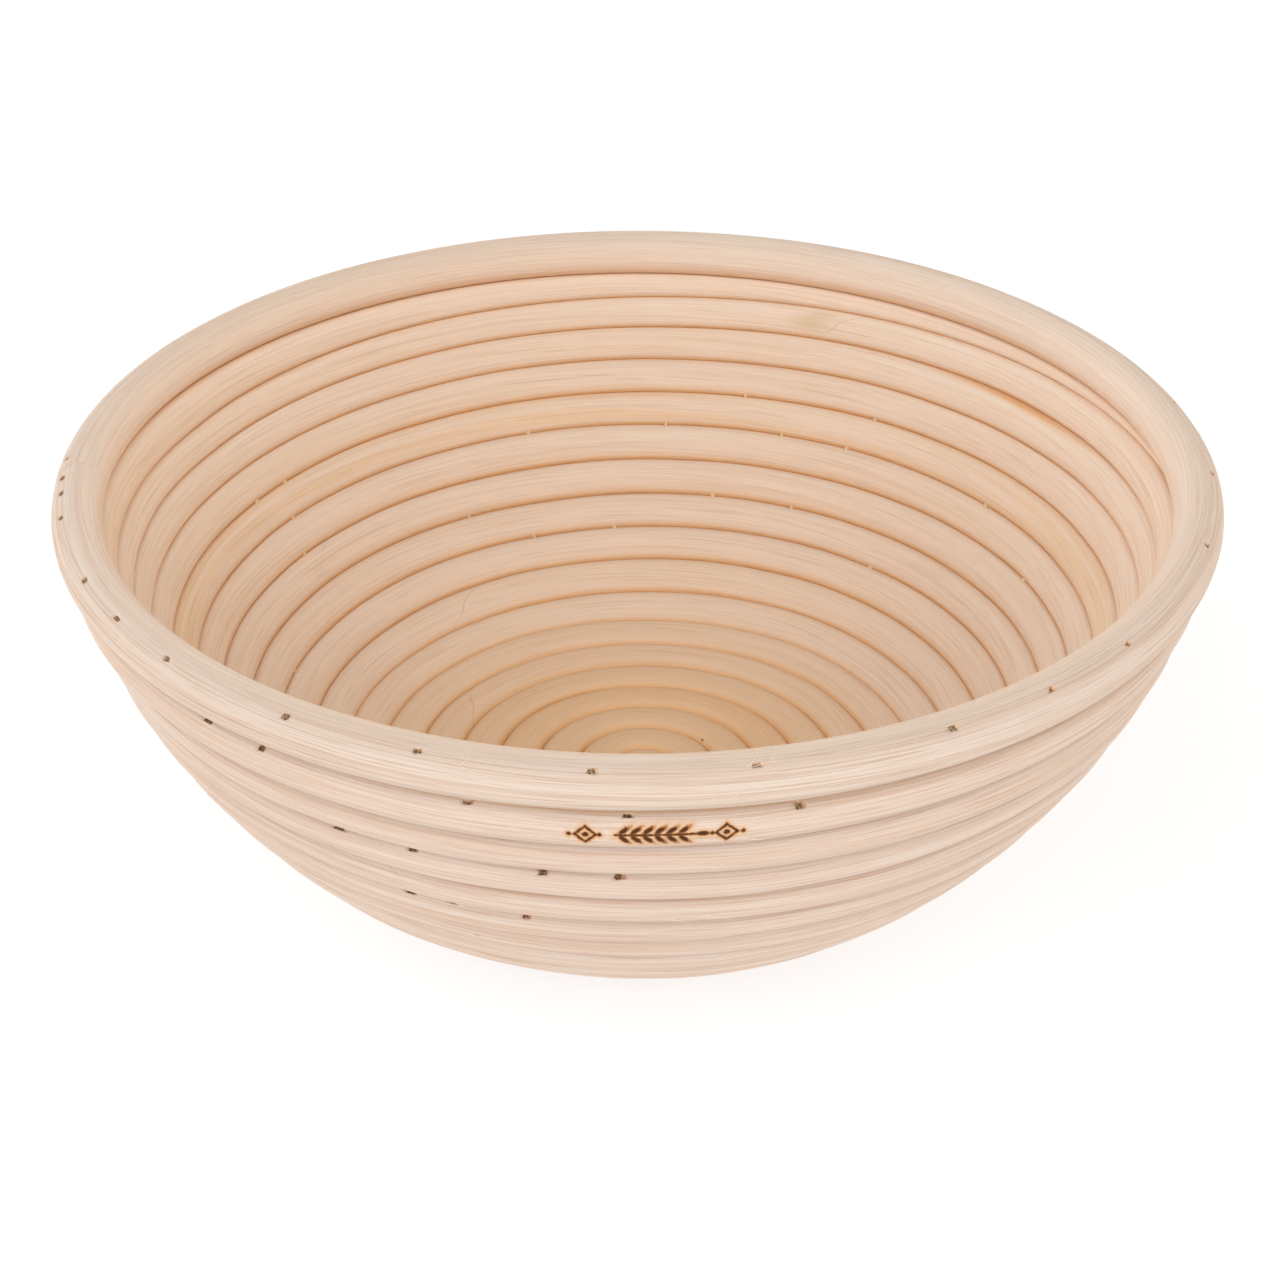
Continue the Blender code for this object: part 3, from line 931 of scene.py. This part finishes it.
def mixed(tree, share, one, two):
    """Colour one with this share of colour two."""
    inputs = {0: share, 6: one, 7: two}
    return wire(tree, "ShaderNodeMix", inputs, data_type="RGBA").outputs[2]


def new_material(name):
    material = bpy.data.materials.new(name)
    material.use_nodes = True
    tree = material.node_tree
    return material, tree, tree.nodes["Principled BSDF"]


def rattan_colour(tree, colours):
    """Colour, streaks and relief of peeled rattan: pale, with fine fibres, warmer inside, and with
    painted shade beside the grooves, under the outside and deep in the bowl.
    """
    cream, peach, straw, fibre_brown, painted_shade_tone, painted_grey_shade, inner_cream, inner_straw = colours
    place = attribute(tree, "cane")
    parts = wire(tree, "ShaderNodeSeparateXYZ", {0: attribute(tree, "side")})
    down, out, turn = parts.outputs[0], parts.outputs[1], parts.outputs[2]
    outside = level(tree, out, -0.5, 0.5)

    broad = grain(tree, place, BROAD_GRAIN, 2.0)
    streak = grain(tree, place, STREAK_GRAIN, 2.5, 0.6)
    fine = grain(tree, place, FINE_GRAIN, 2.0, 0.6)
    slow = grain(tree, place, SLOW_GRAIN, 1.0)
    fuzz = grain(tree, place, FUZZ_GRAIN, 2.0, 0.6)
    colour = mixed(tree, level(tree, broad, 0.34, 0.68, 0.2, 0.85), cream, peach)
    patchy = level(tree, out, -0.4, 0.4, 0.6, 0.06)
    patches = maths(tree, "MULTIPLY", level(tree, slow, 0.46, 0.72), patchy)
    colour = mixed(tree, patches, colour, straw)

    # Inside it is creamier, and yellow in strips for about one turn.
    inside = maths(tree, "SUBTRACT", 1.0, outside)
    colour = mixed(tree, maths(tree, "MULTIPLY", inside, 0.5), colour, inner_cream)
    yellow = maths(tree, "MULTIPLY", level(tree, turn, 3.85, 4.1), level(tree, turn, 5.0, 4.7))
    yellow = maths(tree, "MULTIPLY", yellow, level(tree, broad, 0.40, 0.60, 0.1, 0.5))
    colour = mixed(tree, maths(tree, "MULTIPLY", yellow, inside), colour, inner_straw)

    # Fibres along the cane, which show more outside.
    strength = level(tree, out, -0.6, 0.5, 0.5, 1.0)
    dark = maths(tree, "MULTIPLY", level(tree, streak, 0.50, 0.66, 0.0, 0.42), strength)
    colour = mixed(tree, dark, colour, fibre_brown)
    pale = maths(tree, "MULTIPLY", level(tree, streak, 0.46, 0.32, 0.0, 0.55), strength)
    colour = mixed(tree, pale, colour, cream)
    thin = maths(tree, "MULTIPLY", level(tree, fine, 0.52, 0.64, 0.0, 0.65), strength)
    colour = mixed(tree, thin, colour, fibre_brown)

    # Inside it is a little warmer, the more so deeper in; deep in the bowl it is darkened with painted
    # shade.
    warm = maths(tree, "MULTIPLY", inside, level(tree, turn, 1.0, 9.0, 0.12, 0.18))
    colour = mixed(tree, warm, colour, straw)
    deep = maths(tree, "MULTIPLY", inside, level(tree, turn, 9.0, 15.0, 0.0, 0.55))
    colour = mixed(tree, deep, colour, painted_shade_tone)

    # Painted shade beside the grooves, warm like bounced light, but not on the free top of the rim;
    # painted grey shade under the outside.
    on_wall_row = level(tree, turn, 0.002, 0.01)
    above = maths(tree, "MULTIPLY", level(tree, down, -0.84, -0.98), on_wall_row)
    below = level(tree, down, 0.50, 0.96)
    upper_share = maths(tree, "MULTIPLY", above, level(tree, out, -0.5, 0.5, 0.5, 0.75))
    lower_share = maths(tree, "MULTIPLY", below, level(tree, out, -0.5, 0.5, 0.9, 0.35))
    colour = mixed(tree, maths(tree, "MAXIMUM", upper_share, lower_share), colour, painted_shade_tone)
    # Painted shade: grey on the lower outside of each cane and of the rim, where less light falls.
    grey = maths(tree, "MULTIPLY", level(tree, down, 0.1, 0.85, 0.25, 1.0), outside)
    grey = maths(tree, "MULTIPLY", grey, level(tree, turn, 0.0, 3.0, 0.62, 0.66))
    colour = mixed(tree, grey, colour, painted_grey_shade)

    relief = maths(tree, "ADD", streak, maths(tree, "MULTIPLY", fine, 0.5))
    relief = maths(tree, "ADD", relief, maths(tree, "MULTIPLY", fuzz, 0.6))
    crushed = grain(tree, place, CRUSHED_GRAIN, 1.0)
    crushed = maths(tree, "MULTIPLY", crushed, level(tree, turn, 13.5, 16.5, 0.0, 0.9))
    return colour, streak, maths(tree, "ADD", relief, crushed)


def marked(tree, colour, blemishes_and_shadow):
    """Colour with the natural marks of the cane over it, and one painted groove shadow, each a soft
    oval along the fibres.
    """
    place = attribute(tree, "cane")
    for turn, turned, half_length, half_width, share, mark in blemishes_and_shadow:
        centre = fibre_place(length_at(turn), turned, ROW_RADIUS)
        offset = wire(tree, "ShaderNodeVectorMath", {0: place, 1: centre}, operation="SUBTRACT")
        scale = (1 / half_length, 1 / half_width, 1 / half_width)
        inputs = {0: offset.outputs[0], 1: scale}
        offset = wire(tree, "ShaderNodeVectorMath", inputs, operation="MULTIPLY")
        away = wire(tree, "ShaderNodeVectorMath", {0: offset.outputs[0]}, operation="LENGTH")
        share_here = level(tree, away.outputs["Value"], 1.0, 0.05, 0.0, share)
        colour = mixed(tree, share_here, colour, mark)
    return colour


def finish_surface(tree, shader, colour, streak, relief):
    tree.links.new(colour, shader.inputs["Base Color"])
    tree.links.new(level(tree, streak, 0.25, 0.75, *CANE_ROUGHNESS), shader.inputs["Roughness"])
    shader.inputs["Specular IOR Level"].default_value = CANE_SPECULAR
    bump = wire(tree, "ShaderNodeBump", {**CANE_BUMP, "Height": relief})
    tree.links.new(bump.outputs[0], shader.inputs["Normal"])


def rattan(name, colours, blemishes_and_shadow=()):
    material, tree, shader = new_material(name)
    colour, streak, relief = rattan_colour(tree, colours)
    finish_surface(tree, shader, marked(tree, colour, blemishes_and_shadow), streak, relief)
    return material


def burned_rattan(name, colours):
    """The cane's own look, scorched yellow-brown beside the burned lines and near black in them."""
    material, tree, shader = new_material(name)
    colour, streak, relief = rattan_colour(tree, colours)
    parts = wire(tree, "ShaderNodeSeparateXYZ", {0: attribute(tree, "burn")})
    uneven = grain(tree, attribute(tree, "cane"), BURN_GRAIN, 2.0)
    uneven = maths(tree, "MULTIPLY", maths(tree, "SUBTRACT", uneven, 0.5), SCORCH_UNEVEN)
    distance = maths(tree, "ADD", parts.outputs[0], uneven)
    for start, full, share, scorch in SCORCHES:
        colour = mixed(tree, level(tree, distance, start, full, 0.0, share), colour, scorch)
    finish_surface(tree, shader, colour, streak, relief)
    return material


def plain_wood(name, light, dark, per_metre, rough):
    """Split wood with fine grain along it."""
    material, tree, shader = new_material(name)
    place = attribute(tree, "cane")
    fine = grain(tree, place, per_metre, 3.0, 0.6)
    colour = mixed(tree, level(tree, fine, 0.36, 0.64), light, dark)
    tree.links.new(colour, shader.inputs["Base Color"])
    roughness = level(tree, fine, 0.3, 0.7, rough - WOOD_ROUGHNESS_SPAN, rough)
    tree.links.new(roughness, shader.inputs["Roughness"])
    shader.inputs["Specular IOR Level"].default_value = WOOD_SPECULAR
    bump = wire(tree, "ShaderNodeBump", {**WOOD_BUMP, "Height": fine})
    tree.links.new(bump.outputs[0], shader.inputs["Normal"])
    return material


# The stage.


def add_floor(height):
    mesh = bpy.data.meshes.new("floor")
    signs = ((-1, -1), (1, -1), (1, 1), (-1, 1))
    corners = [(x * FLOOR_HALF, y * FLOOR_HALF, height) for x, y in signs]
    mesh.from_pydata(corners, [], [(0, 1, 2, 3)])
    floor = bpy.data.objects.new("floor", mesh)
    bpy.context.scene.collection.objects.link(floor)
    material, _, shader = new_material("floor_white")
    shader.inputs["Base Color"].default_value = FLOOR_BASE
    shader.inputs["Roughness"].default_value = FLOOR_ROUGHNESS
    shader.inputs["Emission Color"].default_value = WHITE
    shader.inputs["Emission Strength"].default_value = FLOOR_GLOW
    mesh.materials.append(material)


def add_light(name, around, up, watts, colour):
    """A round soft box that shines on the basket from this direction."""
    lamp = bpy.data.lights.new(name, "AREA")
    lamp.shape = "DISK"
    lamp.size = LIGHT_SIZE
    lamp.energy = watts
    lamp.color = colour
    light = bpy.data.objects.new(name, lamp)
    level_share = math.cos(up)
    away = Vector((level_share * math.cos(around), level_share * math.sin(around), math.sin(up)))
    light.location = away * LIGHT_DISTANCE
    light.rotation_euler = away.to_track_quat("Z", "Y").to_euler()
    bpy.context.scene.collection.objects.link(light)


def add_camera():
    lens = bpy.data.cameras.new("camera")
    lens.sensor_width = SENSOR_MM
    lens.lens = LENS_MM
    camera = bpy.data.objects.new("camera", lens)
    camera.location = CAMERA_PLACE
    camera.rotation_euler = (math.radians(90 - CAMERA_DOWN_DEGREES), 0.0, 0.0)
    bpy.context.scene.collection.objects.link(camera)
    bpy.context.scene.camera = camera


def add_world():
    """Studio light that is bright near the horizon and fades upward."""
    world = bpy.data.worlds.new("studio")
    world.use_nodes = True
    tree = world.node_tree
    direction = wire(tree, "ShaderNodeTexCoord", {}).outputs["Generated"]
    upward = wire(tree, "ShaderNodeSeparateXYZ", {0: direction}).outputs[2]
    low, high = (math.sin(math.radians(degrees)) for degrees in SKY_DEGREES)
    background = tree.nodes["Background"]
    strength = level(tree, upward, low, high, *SKY_STRENGTHS)
    tree.links.new(strength, background.inputs["Strength"])
    background.inputs["Color"].default_value = WHITE
    bpy.context.scene.world = world
    bpy.context.scene.view_settings.view_transform = "Standard"


add_camera()
rim_finish = rattan("rim_rattan", RIM_COLOURS)
wall_finish = rattan("wall_rattan", WALL_COLOURS, BLEMISHES_AND_PAINTED_SHADOW)
mark_finish = burned_rattan("burned_rattan", WALL_COLOURS)
pin_finish = plain_wood(
    "pin_wood", tone(206, 182, 148), tone(124, 104, 78), (500, 2600), 0.95
)
# The hole walls are a darker brown: the split wood's tone with painted shade of the recess.
hole_wall_shaded_finish = plain_wood(
    "hole_wall_painted_shade", tone(204, 160, 118), tone(160, 116, 80), (300, 2200), 0.95
)
torn_finish = plain_wood(
    "torn_cane", tone(246, 214, 184), tone(222, 170, 126), (300, 2200), 0.85
)
crossing_finish = plain_wood(
    "pale_pin_wood", tone(240, 214, 180), tone(222, 186, 146), (200, 2200), 0.8
)
hair_finish = plain_wood(
    "loose_fibre", tone(250, 238, 222), tone(240, 220, 190), (100, 3000), 0.75
)

rim = add_piece("rim_rattan", rim_mesh("rim_rattan"), [rim_finish], "rim_cane", "rim_cane")
pins = sorted(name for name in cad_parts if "_pin_" in name)
cut_holes(rim, [name for name in pins if name.startswith("rim")])
ends = (TAIL_START,) + SPLICES + (inner_end(),)
for node, first, last in zip(CANE_NAMES, ends, ends[1:]):
    name = node.replace("cane", "rattan")
    cane = add_piece(name, wall_cane_mesh(name, first, last), [wall_finish], "wall_cane", node)
    if node in ROW_PIN_CANES:
        cut_holes(cane, [f"row_pin_{number:02d}" for number in ROW_PIN_CANES[node]])
for node in pins:
    add_pin(node)
add_crossing_pins("crossing_pins")
add_mark("burned_mark")
add_hairs("loose_fibres")

add_world()
for name, (around, up, watts, colour) in SOFT_BOXES.items():
    add_light(name, math.radians(around), math.radians(up), watts, colour)
low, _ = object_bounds()
add_floor(low.z - FLOOR_GAP)
